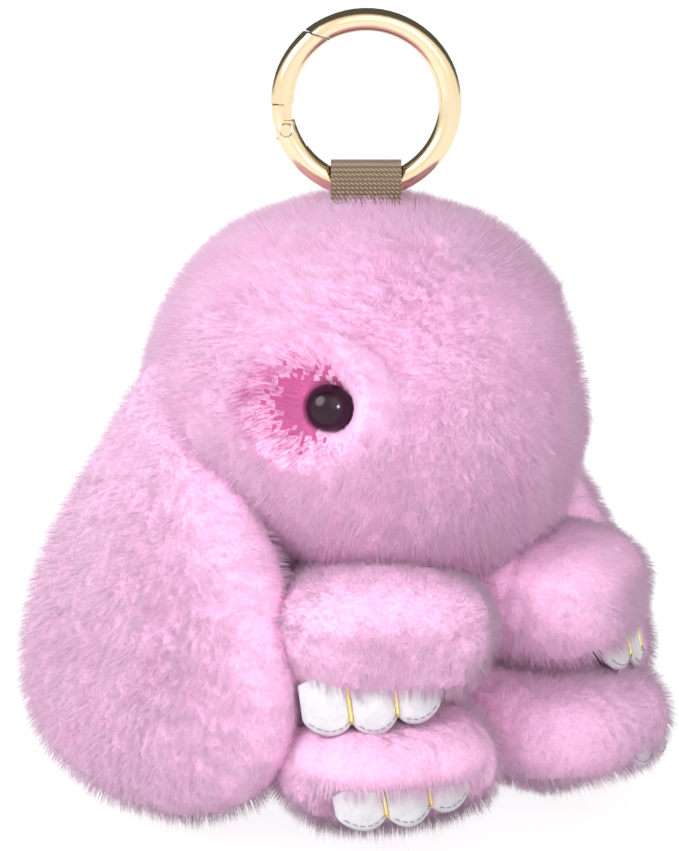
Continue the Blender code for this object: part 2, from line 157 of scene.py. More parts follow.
def link(material, source, target):
    material.node_tree.links.new(source, target)


def shader_of(material):
    return material.node_tree.nodes["Principled BSDF"]


def object_coordinates(material, scale=(1, 1, 1)):
    """Where the point lies on the resting object, in metres, scaled per axis."""
    place = add_node(material, "ShaderNodeTexCoord")
    mapping = add_node(material, "ShaderNodeMapping")
    mapping.inputs["Scale"].default_value = scale
    link(material, place.outputs["Object"], mapping.inputs["Vector"])
    return mapping.outputs["Vector"]


def noise(material, vector, scale, detail=3.0, roughness=0.55):
    made = add_node(material, "ShaderNodeTexNoise", in_Scale=scale, in_Detail=detail, in_Roughness=roughness)
    link(material, vector, made.inputs["Vector"])
    return made.outputs["Fac"]


def colour_ramp(material, factor, stops):
    ramp = add_node(material, "ShaderNodeValToRGB")
    points = ramp.color_ramp.elements
    while len(points) < len(stops):
        points.new(0.5)
    for point, (position, colour) in zip(points, stops):
        point.position = position
        point.color = (*colour, 1)
    link(material, factor, ramp.inputs["Fac"])
    return ramp.outputs["Color"]


def bump(material, height, strength, distance):
    made = add_node(material, "ShaderNodeBump", in_Strength=strength, in_Distance=distance)
    link(material, height, made.inputs["Height"])
    link(material, made.outputs["Normal"], shader_of(material).inputs["Normal"])


def value_range(material, factor, low, high):
    made = add_node(material, "ShaderNodeMapRange")
    made.inputs["To Min"].default_value = low
    made.inputs["To Max"].default_value = high
    link(material, factor, made.inputs["Value"])
    return made.outputs["Result"]


FUR_TINTS = {
    "fur_pale": (0.98, 0.65, 0.88),
    "fur_pink": (0.98, 0.59, 0.85),
    "fur_rose": (0.97, 0.51, 0.79),
    # The last tint is painted shade: the dark rose given to strands in the hollow beside each eye.
    "fur_painted_shade": (0.76, 0.20, 0.47),
}
UNDERCOAT_TINTS = ((0.30, (0.96, 0.50, 0.78)), (0.75, (0.98, 0.61, 0.85)))


def undercoat_material():
    made = new_material("fur_undercoat", (0.95, 0.55, 0.8), 0.95, Specular_IOR_Level=0.1)
    place = object_coordinates(made)
    fine = noise(made, place, 1400, detail=2)
    link(made, colour_ramp(made, fine, UNDERCOAT_TINTS), shader_of(made).inputs["Base Color"])
    bump(made, fine, 0.6, 0.4 * MM)
    return made


# ---------------------------------------------------------------- meshes from arrays

def mesh_object(name, vertices, faces_flat, corners, materials, indices=None, smooth=True):
    """An object from arrays: corner list, and how many corners each face has."""
    mesh = bpy.data.meshes.new(name)
    mesh.vertices.add(len(vertices))
    mesh.vertices.foreach_set("co", np.ascontiguousarray(vertices, dtype=np.float32).ravel())
    mesh.loops.add(len(faces_flat))
    mesh.loops.foreach_set("vertex_index", np.ascontiguousarray(faces_flat, dtype=np.int32))
    mesh.polygons.add(len(corners))
    starts = np.concatenate(([0], np.cumsum(corners)[:-1])).astype(np.int32)
    mesh.polygons.foreach_set("loop_start", starts)
    if indices is not None:
        mesh.polygons.foreach_set("material_index", indices.astype(np.int32))
    mesh.update(calc_edges=True)
    if smooth:
        mesh.shade_smooth()
    for material in materials:
        mesh.materials.append(material)
    return add_object(name, mesh)


def arrays_of(mesh):
    """A mesh's points, their normals and its triangles."""
    mesh.calc_loop_triangles()
    points = np.empty(len(mesh.vertices) * 3, dtype=np.float32)
    mesh.vertices.foreach_get("co", points)
    normals = np.empty(len(mesh.vertices) * 3, dtype=np.float32)
    mesh.vertices.foreach_get("normal", normals)
    triangles = np.empty(len(mesh.loop_triangles) * 3, dtype=np.int32)
    mesh.loop_triangles.foreach_get("vertices", triangles)
    return points.reshape(-1, 3), normals.reshape(-1, 3), triangles.reshape(-1, 3)


def unit(vectors):
    return vectors / np.maximum(np.linalg.norm(vectors, axis=1, keepdims=True), 1e-9)


def waves(points, wavelength, seed, count=14):
    """A smooth random vector field with about the given wavelength."""
    rng = np.random.RandomState(seed)
    total = np.zeros_like(points)
    for _ in range(count):
        heading = rng.normal(size=3)
        heading /= np.linalg.norm(heading)
        pace = 2 * pi / (wavelength * rng.uniform(0.7, 1.4))
        push = rng.normal(size=3)
        total += np.sin(points @ heading * pace + rng.uniform(0, 2 * pi))[:, None] * push
    return total / sqrt(count / 2)


def soft_step(value, low, high):
    clamped = np.clip((value - low) / (high - low), 0, 1)
    return clamped * clamped * (3 - 2 * clamped)


def closed_skin(node_names, voxel, relaxed=40):
    """A smooth closed surface round the named CAD solids, as an even mesh."""
    bm = bmesh.new()
    for name in node_names:
        bm.from_mesh(nodes[name].data)
    hull = bmesh.ops.convex_hull(bm, input=bm.verts)
    kept = {item for item in hull["geom"] if isinstance(item, bmesh.types.BMVert)}
    bmesh.ops.delete(bm, geom=[vertex for vertex in bm.verts if vertex not in kept], context="VERTS")
    loose = [face for face in bm.faces if face not in set(hull["geom"])]
    bmesh.ops.delete(bm, geom=loose, context="FACES_ONLY")
    mesh = bpy.data.meshes.new("skin")
    bm.to_mesh(mesh)
    bm.free()
    holder = add_object("skin", mesh)
    remesh = holder.modifiers.new("even", "REMESH")
    remesh.mode = "VOXEL"
    remesh.voxel_size = voxel
    relax = holder.modifiers.new("relax", "SMOOTH")
    relax.factor = 0.5
    relax.iterations = relaxed
    graph = bpy.context.evaluated_depsgraph_get()
    even = bpy.data.meshes.new_from_object(holder.evaluated_get(graph))
    bpy.data.objects.remove(holder)
    return even


# ---------------------------------------------------------------- fur

STRAND_LIMIT = 60000           # strands in one object
STRAND_POINTS = 4
CORNERS = np.array([0, 1, 3, 1, 2, 3, 2, 0, 3])
FACE_SIZES = np.array([3, 3, 3])
DENSITY = 15e6                 # strands on a square metre
FINE_VOXEL = 0.7 * MM          # grain of the undercoat
STRAND_WIDTH = 0.15 * MM

fur_materials = [new_material(name, tint, 0.8, Sheen_Weight=0.12, Sheen_Roughness=0.4, Specular_IOR_Level=0.2)
                 for name, tint in FUR_TINTS.items()]
undercoat = undercoat_material()
# Painted shade: a dark rose for the undercoat in the hollow beside each eye.
painted_shade_undercoat = new_material("fur_undercoat_painted_shade", (0.62, 0.12, 0.34), 0.95)


def tangent(vectors, normals):
    """What is left of the vectors along the surface."""
    return vectors - normals * np.sum(vectors * normals, axis=1, keepdims=True)


def scatter(skin, density, rng):
    """Random points, evenly over the skin, with smooth normals."""
    points, normals, triangles = skin
    corners = points[triangles]
    areas = np.linalg.norm(np.cross(corners[:, 1] - corners[:, 0], corners[:, 2] - corners[:, 0]), axis=1) / 2
    count = int(areas.sum() * density)
    chosen = rng.choice(len(triangles), size=count, p=areas / areas.sum())
    first, second = rng.random_sample((2, count))
    folded = first + second > 1
    first[folded], second[folded] = 1 - first[folded], 1 - second[folded]
    weights = np.stack([1 - first - second, first, second], axis=1)[:, :, None]
    place = (corners[chosen] * weights).sum(axis=1)
    normal = unit((normals[triangles[chosen]] * weights).sum(axis=1))
    return place, normal


def strand_arrays(roots, normals, headings, lengths, width, rng):
    """Four points a strand: three round the root and the tip. It takes its shading from the pile."""
    across = unit(np.cross(headings, rng.normal(size=headings.shape)))
    other = np.cross(headings, across)
    vertices = np.empty((len(roots), STRAND_POINTS, 3))
    for corner in range(3):
        angle = 2 * pi * corner / 3
        offset = across * cos(angle) + other * sin(angle)
        vertices[:, corner] = roots + offset * width[:, None] * 0.55
    vertices[:, 3] = roots + headings * lengths[:, None]
    lit = unit(normals * 0.88 + headings * 0.12 + 0.05 * rng.normal(size=headings.shape))
    return vertices, np.repeat(lit[:, None, :], STRAND_POINTS, axis=1)


def add_strands(name, body, vertices, shading, tints):
    """The strands as objects of at most STRAND_LIMIT each, tinted one by one."""
    for part, start in enumerate(range(0, len(vertices), STRAND_LIMIT)):
        chunk = vertices[start:start + STRAND_LIMIT]
        total = len(chunk)
        corners = (CORNERS[None, :] + STRAND_POINTS * np.arange(total)[:, None]).ravel()
        indices = np.repeat(tints[start:start + STRAND_LIMIT], len(FACE_SIZES))
        piece = mesh_object(f"{name}_{part + 1}", chunk.reshape(-1, 3), corners, np.tile(FACE_SIZES, total),
                            fur_materials, indices)
        lit = piece.data.attributes.new("custom_normal", "FLOAT_VECTOR", "POINT")
        lit.data.foreach_set("vector", shading[start:start + STRAND_LIMIT].astype(np.float32).ravel())
        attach(piece, body)


UNDER_CLUMPS = ((4.0 * MM, 0.10 * MM), (1.2 * MM, 0.05 * MM))     # wavelength and height
BALD_DIP = 0.15 * MM           # how far the undercoat sinks into bare fabric
BALD_BELOW = 0.12              # share of the pile under which no strand stands
ROOT_DEPTH = 1.6 * MM          # how far under the undercoat's surface a strand starts
GUARD_SHARE = 0.12             # strands that are thinner and reach past the rest
TONE_STEPS = (0.1, 0.9, 2.3)   # where a strand's tone moves on to the next of FUR_TINTS; the last of them is painted shade
DEEP_EXTRA = 2.2 * MM          # longer strands where the fur is deepest


def grow_undercoat(name, body, covers, skin_mesh, under, height, seed, shaded_hollow):
    """A soft solid under the strands. It stands for the CAD solids that it covers."""
    points, normals, _ = arrays_of(skin_mesh)
    keep = height(points)
    clumps = 0
    for step, (wavelength, clump) in enumerate(UNDER_CLUMPS):
        clumps = clumps + waves(points, wavelength, seed + step)[:, 0] * clump
    rise = under * keep + clumps * np.minimum(keep, 1) - BALD_DIP * np.maximum(1 - keep, 0)
    raised = points + normals * rise[:, None]
    skin_mesh.vertices.foreach_set("co", raised.astype(np.float32).ravel())
    skin_mesh.update()
    skin_mesh.shade_smooth()
    skin_mesh.materials.clear()
    skin_mesh.materials.append(undercoat)
    # Painted shade: undercoat faces in the hollow beside each eye take the dark material, with a ragged edge.
    if shaded_hollow is not None:
        skin_mesh.materials.append(painted_shade_undercoat)
        middles = np.array([face.center[:] for face in skin_mesh.polygons])
        ragged = shaded_hollow(middles) + 0.15 * waves(middles, 1.5 * MM, seed + 5)[:, 0]
        skin_mesh.polygons.foreach_set("material_index", (ragged > 0.6).astype(np.int32))
    coat = add_object(f"{name}_undercoat", skin_mesh)
    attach(coat, body)
    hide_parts(*covers)


def grow(name, body, covers, voxel, under, pile, lay, lean, height, seed, density=DENSITY,
         fall=None, rosy=0.0, shaded_hollow=None, relaxed=40):
    """An undercoat over the named CAD solids, and the strands that stand out of it.

    under and pile are heights above the fabric; lay gives the way the hair lies, lean how far it
    leans that way, height what share of its pile the fur keeps at each point, fall how far the tips
    drop over whatever is below them, rosy how far the colour is moved, and the mask of the hollow
    beside each eye where the strands are longer and painted shade darkens the fur.
    """
    skin_mesh = closed_skin(covers, voxel, relaxed)
    skin = arrays_of(skin_mesh)
    grow_undercoat(name, body, covers, skin_mesh, under, height, seed, shaded_hollow)

    rng = np.random.RandomState(seed)
    roots, up = scatter(skin, density, rng)
    keep = height(roots)
    standing = keep > BALD_BELOW
    roots, up, keep = roots[standing], up[standing], keep[standing]
    lie = unit(tangent(lay(roots), up))
    tilt = lean * (0.6 + 0.4 * np.minimum(keep, 1))
    heading = up * np.cos(tilt)[:, None] + lie * np.sin(tilt)[:, None]
    swirl = 0.07 * waves(roots, 16 * MM, seed + 2) + 0.05 * waves(roots, 2.4 * MM, seed + 3)
    heading = unit(heading + tangent(swirl, up) + 0.06 * rng.normal(size=roots.shape))
    if fall is not None:
        heading = unit(heading + np.array([0, 0, -1.0]) * fall(roots)[:, None])
    depth = under * keep - ROOT_DEPTH
    guard = rng.random_sample(len(roots)) < GUARD_SHARE
    reach = rng.uniform(0.84, 1.04, len(roots)) + np.where(guard, rng.uniform(0.0, 0.35, len(roots)), 0)
    lengths = (pile * keep - depth) * reach / np.cos(lean)
    if shaded_hollow is not None:
        lengths = lengths + DEEP_EXTRA * shaded_hollow(roots)
    width = STRAND_WIDTH * rng.uniform(0.7, 1.2, len(roots)) * np.where(guard, 0.7, 1.0)
    vertices, shading = strand_arrays(roots + up * depth[:, None], up, heading, lengths, width, rng)
    tone = 0.3 * waves(roots, 8 * MM, seed + 4)[:, 0] + 0.6 * rng.normal(size=len(roots)) + rosy
    # Painted shade: strands in the hollow beside each eye are pushed to the darkest tint.
    if shaded_hollow is not None:
        tone = tone + 5.5 * shaded_hollow(roots)
    add_strands(f"{name}_fur", body, vertices, shading, np.digitize(tone, TONE_STEPS))


def full_height(points):
    return np.ones(len(points))


def down(points):
    return np.tile(np.array([0.0, 0.0, -1.0]), (len(points), 1))


head_middle = box_middle("head_shell")
head_semi = box_size("head_shell") / 2


def eye_axis(name):
    """Where an eye sits, and which way it looks: square to the head's surface."""
    place = box_middle(name)
    away = place - head_middle
    looks = Vector([a / (b * b) for a, b in zip(away, head_semi)]).normalized()
    return place, looks


def head_height(points):
    """Deep fur on the muzzle and brow, shorter on the cheeks, brushed away round each eye."""
    away = unit((points - np.array(head_middle)) / np.array(head_semi))
    sides = np.abs(away[:, 0])
    muzzle = soft_step(-away[:, 1] * 0.62 - away[:, 2] * 0.78 - sides * 0.25, 0.45, 0.95)
    cheek = soft_step(sides * 0.75 - away[:, 2] * 0.65, 0.72, 1.0)
    brow = soft_step(away[:, 2] * 0.75 + sides * 0.3, 0.5, 0.8) * soft_step(0.93 - away[:, 2], 0.0, 0.12)
    keep = 1 + 0.30 * muzzle - 0.28 * cheek + 0.10 * brow
    dimple = 0.20 + 1.0 * soft_step(dimple_reach(points), 2.6 * MM, 11.0 * MM)
    keep = np.minimum(keep, dimple)
    return keep * soft_step(dimple_reach(points, 0.0), 3.6 * MM, 4.6 * MM)


def dimple_reach(points, back=2.7 * MM):
    """How far each point lies from the nearest eye, or from a point behind it, square to its look."""
    nearest = np.full(len(points), 1.0)
    for name in ("eye_right", "eye_left"):
        place, looks = eye_axis(name)
        behind = Vector((0, 1, 0)) - looks * looks.y
        offset = points - np.array(place + behind.normalized() * back)
        ahead = offset @ np.array(looks)
        offset = offset - ahead[:, None] * np.array(looks)
        reach = np.linalg.norm(offset, axis=1)
        nearest = np.where(np.abs(ahead) < 12 * MM, np.minimum(nearest, reach), nearest)
    return nearest


# Where painted shade goes: 1 in the hollow beside each eye, fading out further away; it also lengthens the
# strands there.
def shaded_dimple(points):
    return 1 - soft_step(dimple_reach(points, 3.8 * MM), 2.0 * MM, 10.5 * MM)


def head_lay(points):
    lay = down(points)
    lay[:, 1] += 0.55
    for name in ("eye_right", "eye_left"):
        place, _ = eye_axis(name)
        away = points - np.array(place)
        near = 1 - soft_step(np.linalg.norm(away, axis=1), 5 * MM, 14 * MM)
        lay = lay * (1 - near[:, None]) + unit(away) * near[:, None]
    return lay


def node_points(name):
    mesh = nodes[name].data
    points = np.empty(len(mesh.vertices) * 3, dtype=np.float32)
    mesh.vertices.foreach_get("co", points)
    return points.reshape(-1, 3)


def tail_lay(points):
    return np.tile(np.array([0.0, 1.0, -0.4]), (len(points), 1))


def grow_head_and_body():
    grow("head", "toy", ["head_shell"], voxel=FINE_VOXEL, under=7.6 * MM, pile=10.2 * MM, lay=head_lay,
         lean=radians(18), height=head_height, seed=11, rosy=0.25, shaded_hollow=shaded_dimple, relaxed=140)
    grow("body", "toy", ["body_shell"], voxel=0.9 * MM, under=5.0 * MM, pile=7.6 * MM, lay=down,
         lean=radians(24), height=full_height, seed=12, density=DENSITY * 0.5)
    grow("tail", "toy", ["tail_shell"], voxel=FINE_VOXEL, under=4.2 * MM, pile=7.2 * MM, lay=tail_lay,
         lean=radians(20), height=full_height, seed=13, density=DENSITY * 0.7)


def grow_ear(side, seed):
    panels = np.concatenate([node_points(f"ear_{panel}_{side}") for panel in ("outer", "inner")])
    top, bottom = panels[:, 2].max(), panels[:, 2].min()
    middle = (panels[:, 1].max() + panels[:, 1].min()) / 2

    def share_down(points):
        return (top - points[:, 2]) / (top - bottom)

    def ear_height(points):
        return 0.72 + 0.28 * soft_step(share_down(points), 0.0, 0.45)

    def ear_lay(points):
        lay = down(points)
        lay[:, 1] += 0.25 * np.tanh((points[:, 1] - middle) / (8 * MM))
        return lay

    grow(f"ear_{side}", f"ear_{side}", [f"ear_outer_{side}", f"ear_inner_{side}"], voxel=FINE_VOXEL,
         under=5.1 * MM, pile=7.5 * MM, lay=ear_lay, lean=radians(30), height=ear_height, seed=seed,
         density=DENSITY * 0.8, rosy=-0.2)


def paw_axes(paw):
    """The paw's root, its forward direction and its sideways direction, from its joint."""
    joint = next(joint for joint in frame["joints"] if joint["child"] == paw)
    sideways = Vector(joint["axis"]).normalized()
    if sideways.x < 0:
        sideways = -sideways
    forward = sideways.cross(Vector((0, 0, -1)))
    if forward.y > 0:
        forward = -forward
    return Vector(joint["pos_m"]), forward, sideways


def paw_local(points, paw):
    """Points as (sideways, forward, up) from the paw's root."""
    root, forward, sideways = paw_axes(paw)
    turn = np.array([sideways, forward, Vector((0, 0, 1))])
    return (np.asarray(points) - np.array(root)) @ turn.T


PRESSED = 0.55                 # how far the head flattens the pile on top of a front paw
PAD_COVER = 3.0 * MM           # how much of a pad's upper part is under fur
BURIED_PAD_COVER = 6.5 * MM    # the same on the left hind paw


def grow_paw(place, side, seed):
    paw = f"{place}_paw_{side}"
    pad = paw_local(node_points(f"toe_pad_{place}_{side}"), paw)
    pad_low, pad_high = pad.min(axis=0), pad.max(axis=0)
    _, forward, _ = paw_axes(paw)
    covered = BURIED_PAD_COVER if paw == "hind_paw_left" else PAD_COVER

    def outside_pad(points):
        """How far a point of the sleeve lies from the part of it that the pad covers."""
        local = paw_local(points, paw)
        beside = np.maximum(pad_low[0] - local[:, 0], local[:, 0] - pad_high[0])
        above = local[:, 2] - (pad_high[2] - covered)
        behind = pad_low[1] - 6 * MM - local[:, 1]
        return np.maximum(np.maximum(beside, above), behind)

    def clear_of_pad(points):
        upper = soft_step(paw_local(points, paw)[:, 2], 2.0 * MM, 8.0 * MM)
        pressed = PRESSED * upper if place == "front" else 0.0
        return soft_step(outside_pad(points), -2.0 * MM, 1.5 * MM) * (1 - pressed)

    def fall_over_pad(points):
        return 0.9 * (1 - soft_step(outside_pad(points), 1.0 * MM, 7.0 * MM))

    def paw_lay(points):
        lay = np.tile(np.array(forward), (len(points), 1))
        lay[:, 2] -= 0.55
        return lay

    grow(paw, paw, [f"paw_sleeve_{place}_{side}"], voxel=FINE_VOXEL, under=4.6 * MM, pile=7.0 * MM,
         lay=paw_lay, lean=radians(30), height=clear_of_pad, seed=seed, density=DENSITY * 0.8,
         fall=fall_over_pad, rosy=-0.1)


grow_head_and_body()
seed = 20
for side in ("right", "left"):
    grow_ear(side, seed)
    grow_paw("front", side, seed + 1)
    grow_paw("hind", side, seed + 2)
    seed += 10

# ---------------------------------------------------------------- toes

PAD_BEND_RADIUS = 26 * MM
PAD_LEAN = radians(15)
PAD_THICKNESS = 1.1 * MM
TOE_WIDTH = 7.8 * MM
TOE_DROP = 2.6 * MM
MIDDLE_TOE_DROP = 0.8 * MM
PAD_HALF_WIDTH = 11.7 * MM
THREAD_RADIUS = 0.34 * MM
THREAD_STEPS = 40
STITCH_LENGTH = 0.75 * MM
STITCH_PITCH = 1.15 * MM
STITCH_RADIUS = 0.09 * MM
STITCH_INSET = 1.0 * MM        # from the scalloped edge
STITCH_MARGIN = 0.9 * MM       # from the pad's sides
# ahead and top place the upper edge from the paw's root; shift and roll are to the outside
PADS = {
    "front": {"ahead": 30.0 * MM, "top": -3.6 * MM, "height": 11.2 * MM,
              "shift": 4.2 * MM, "roll": radians(6)},
    "hind": {"ahead": 42.8 * MM, "top": -1.5 * MM, "height": 8.8 * MM,
             "shift": 2.0 * MM, "roll": radians(7)},
}


def leatherette_material():
    made = new_material("leatherette", (0.70, 0.67, 0.70), 0.42, Coat_Weight=0.25, Coat_Roughness=0.3)
    place = object_coordinates(made)
    crumple = noise(made, place, 420, detail=3)
    tint = colour_ramp(made, crumple, ((0.3, (0.60, 0.57, 0.61)), (0.7, (0.73, 0.70, 0.74))))
    link(made, tint, shader_of(made).inputs["Base Color"])
    bump(made, crumple, 0.5, 0.35 * MM)
    return made


leatherette = leatherette_material()
gold_thread = new_material("gold_thread", (0.78, 0.60, 0.22), 0.34, 0.75)
grey_thread = new_material("edge_thread", (0.30, 0.30, 0.34), 0.6)


class Pad:
    """One toe pad's surface: how far across it, down from its top edge, and proud of its back face."""

    def __init__(self, place, side):
        size = PADS[place]
        self.forward, self.height = size["ahead"], size["height"]
        root, forward, sideways = paw_axes(f"{place}_paw_{side}")
        outward = 1 if side == "left" else -1
        turn = Matrix.Rotation(-outward * size["roll"], 3, forward)
        self.start = root + sideways * (outward * size["shift"]) + Vector((0, 0, size["top"]))
        self.sideways, self.ahead, self.up = turn @ sideways, turn @ forward, turn @ Vector((0, 0, 1))

    def edge(self, across):
        """How far down the scalloped lower edge lies."""
        toe = abs(cos(pi * across / TOE_WIDTH)) ** 0.6
        middle = cos(pi * across / (2 * PAD_HALF_WIDTH)) ** 2
        return self.height - TOE_DROP * (1 - toe) - MIDDLE_TOE_DROP * (1 - middle)

    def point(self, across, drop, proud):
        ahead = self.forward - across * across / (2 * PAD_BEND_RADIUS) + drop * sin(PAD_LEAN) + proud
        level = self.start + self.sideways * across + self.ahead * ahead
        return level - self.up * (drop * cos(PAD_LEAN))


def pad_mesh(pad, columns=72, rows=12):
    """Three puffed toes with a thin lip along the scalloped edge."""
    vertices, faces = [], []
    for front in (True, False):
        for column in range(columns + 1):
            across = PAD_HALF_WIDTH * (2 * column / columns - 1)
            low = pad.edge(across)
            top = 2.2 * MM * abs(across / PAD_HALF_WIDTH) ** 3
            for row in range(rows + 1):
                share = row / rows
                drop = top + (low - top) * share
                puff = abs(cos(pi * across / TOE_WIDTH)) ** 0.5 * (1 - share ** 6) ** 0.5
                proud = PAD_THICKNESS * (0.62 + 0.75 * puff * min(1.0, share * 2.2)) if front else 0.0
                vertices.append(pad.point(across, drop, proud))
    count = (columns + 1) * (rows + 1)
    for column in range(columns):
        for row in range(rows):
            first = column * (rows + 1) + row
            after = first + rows + 1
            faces.append((first, after, after + 1, first + 1))
            faces.append((count + first, count + first + 1, count + after + 1, count + after))
    rim = [column * (rows + 1) for column in range(columns + 1)]
    rim += [columns * (rows + 1) + row for row in range(1, rows + 1)]
    rim += [column * (rows + 1) + rows for column in range(columns - 1, -1, -1)]
    rim += list(range(rows - 1, 0, -1))
    for one, two in zip(rim, rim[1:] + rim[:1]):
        faces.append((one, count + one, count + two, two))
    return vertices, faces


def solid_object(name, vertices, faces, material, body, slot_name):
    bm = bmesh.new()
    corners = [bm.verts.new(vertex) for vertex in vertices]
    for face in faces:
        bm.faces.new([corners[index] for index in face])
    bmesh.ops.recalc_face_normals(bm, faces=bm.faces)
    mesh = bpy.data.meshes.new(name)
    bm.to_mesh(mesh)
    bm.free()
    mesh.shade_smooth()
    mesh.materials.append(material)
    made = add_object(name, mesh)
    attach(made, body)
    return made


def tube(path, radius, sides=8, twist=0.0):
    """A closed round tube along a path; a twist gives it the lay of a spun thread."""
    vertices, faces = [], []
    for index, point in enumerate(path):
        along = (path[min(index + 1, len(path) - 1)] - path[max(index - 1, 0)]).normalized()
        across = along.orthogonal().normalized()
        if abs(along.z) < 0.9:
            across = along.cross(Vector((0, 0, 1))).normalized()
        other = along.cross(across)
        for side in range(sides):
            angle = 2 * pi * side / sides
            swell = 1 + 0.22 * cos(2 * (angle + twist * index)) if twist else 1
            vertices.append(point + (across * cos(angle) + other * sin(angle)) * radius * swell)
    for index in range(len(path) - 1):
        for side in range(sides):
            after = (side + 1) % sides
            first, next_ring = index * sides, (index + 1) * sides
            faces.append((first + side, first + after, next_ring + after, next_ring + side))
    faces.append(tuple(range(sides)))
    faces.append(tuple(range((len(path) - 1) * sides, len(path) * sides)))
    return vertices, faces


def build_toes(place, side):
    """A paw's toe pad, the two threads between its toes and the stitches along its edge."""
    pad = Pad(place, side)
    body = f"{place}_paw_{side}"
    label = f"{place}_{side}"
    made = solid_object(f"pad_{label}", *pad_mesh(pad), leatherette, body, "white_leatherette")
    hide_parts(f"toe_pad_{label}")
    for toe_side, which in ((-1, "a"), (1, "b")):
        across = toe_side * TOE_WIDTH / 2
        low = pad.edge(across)
        path = [pad.point(across, low * step / THREAD_STEPS, PAD_THICKNESS * 0.95)
                for step in range(2, THREAD_STEPS + 1)]
        path.append(pad.point(across, low + 0.3 * MM, PAD_THICKNESS * 0.6))
        path.append(pad.point(across, low + 0.35 * MM, 0))
        thread = solid_object(f"thread_{label}_{which}", *tube(path, THREAD_RADIUS, twist=0.5), gold_thread,
                              body, "gold_thread")
        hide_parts(f"toe_thread_{label}_{which}")
    vertices, faces = [], []
    across = -PAD_HALF_WIDTH + STITCH_MARGIN
    while across < PAD_HALF_WIDTH - STITCH_MARGIN:
        if abs(abs(across) - TOE_WIDTH / 2) > 0.6 * MM:
            ends = [across, across + STITCH_LENGTH]
            path = [pad.point(end, pad.edge(end) - STITCH_INSET, PAD_THICKNESS * 1.22) for end in ends]
            more, more_faces = tube(path, STITCH_RADIUS, sides=5)
            faces += [tuple(index + len(vertices) for index in face) for face in more_faces]
            vertices += more
        across += STITCH_PITCH
    solid_object(f"edge_stitches_{label}", vertices, faces, grey_thread, body, "white_leatherette")


# ---------------------------------------------------------------- beads, ring and webbing

def smooth_copy(name, node, material, body, sharp=radians(38)):
    """A copy of a CAD solid with joined corners, so that its curves are shaded smoothly."""
    bm = bmesh.new()
    bm.from_mesh(nodes[node].data)
    bmesh.ops.remove_doubles(bm, verts=bm.verts, dist=0.002 * MM)
    bmesh.ops.recalc_face_normals(bm, faces=bm.faces)
    for edge in bm.edges:
        edge.smooth = edge.is_manifold and edge.calc_face_angle(0) < sharp
    for face in bm.faces:
        face.smooth = True
    mesh = bpy.data.meshes.new(name)
    bm.to_mesh(mesh)
    bm.free()
    for attribute in [item.name for item in mesh.attributes if "normal" in item.name]:
        mesh.attributes.remove(mesh.attributes[attribute])
    mesh.materials.clear()
    mesh.materials.append(material)
    made = add_object(name, mesh)
    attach(made, body)
    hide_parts(node)
    return made


BEAD_RADIUS = 4.0 * MM
BEAD_RISE = 2.8 * MM
BEAD_SEAT = 0.3 * MM           # how far its flat back stands off the fabric
SHANK_RADIUS = 1.1 * MM
SHANK_DEPTH = 8.5 * MM
BEAD_SIDES = 48
DOME_STEPS = 16
DOME_END = radians(88)         # just short of the crown, which a small flat face closes


def bead(name, side):
    """A glossy bead with its flat back a little above the fabric, and its shank."""
    _, looks = eye_axis(f"eye_{side}")
    seat = head_middle + Vector([axis * semi for axis, semi in zip(
        Vector([way * semi for way, semi in zip(looks, head_semi)]).normalized(), head_semi)])
    across = looks.orthogonal().normalized()
    other = looks.cross(across)
    profile = [(SHANK_RADIUS, -SHANK_DEPTH), (SHANK_RADIUS, BEAD_SEAT), (BEAD_RADIUS - 0.3 * MM, BEAD_SEAT)]
    for step in range(DOME_STEPS + 1):
        angle = DOME_END * step / DOME_STEPS
        profile.append((BEAD_RADIUS * cos(angle), 0.9 * MM + BEAD_RISE * sin(angle)))
    vertices, faces = [], []
    for radius, height in profile:
        for side_index in range(BEAD_SIDES):
            angle = 2 * pi * side_index / BEAD_SIDES
            vertices.append(seat + looks * height + (across * cos(angle) + other * sin(angle)) * radius)
    for ring in range(len(profile) - 1):
        for side_index in range(BEAD_SIDES):
            first, after = ring * BEAD_SIDES + side_index, ring * BEAD_SIDES + (side_index + 1) % BEAD_SIDES
            faces.append((first, after, after + BEAD_SIDES, first + BEAD_SIDES))
    faces.append(tuple(range(BEAD_SIDES)))
    faces.append(tuple(range((len(profile) - 1) * BEAD_SIDES, len(profile) * BEAD_SIDES)))
    made = solid_object(name, vertices, faces, eye_look, "toy", "black_bead")
    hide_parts(f"eye_{side}")


def gold_material():
    made = new_material("champagne_gold", (0.86, 0.71, 0.48), 0.13, 1.0)
    place = object_coordinates(made)
    wear = noise(made, place, 900, detail=2)
    link(made, value_range(made, wear, 0.10, 0.17), shader_of(made).inputs["Roughness"])
    return made


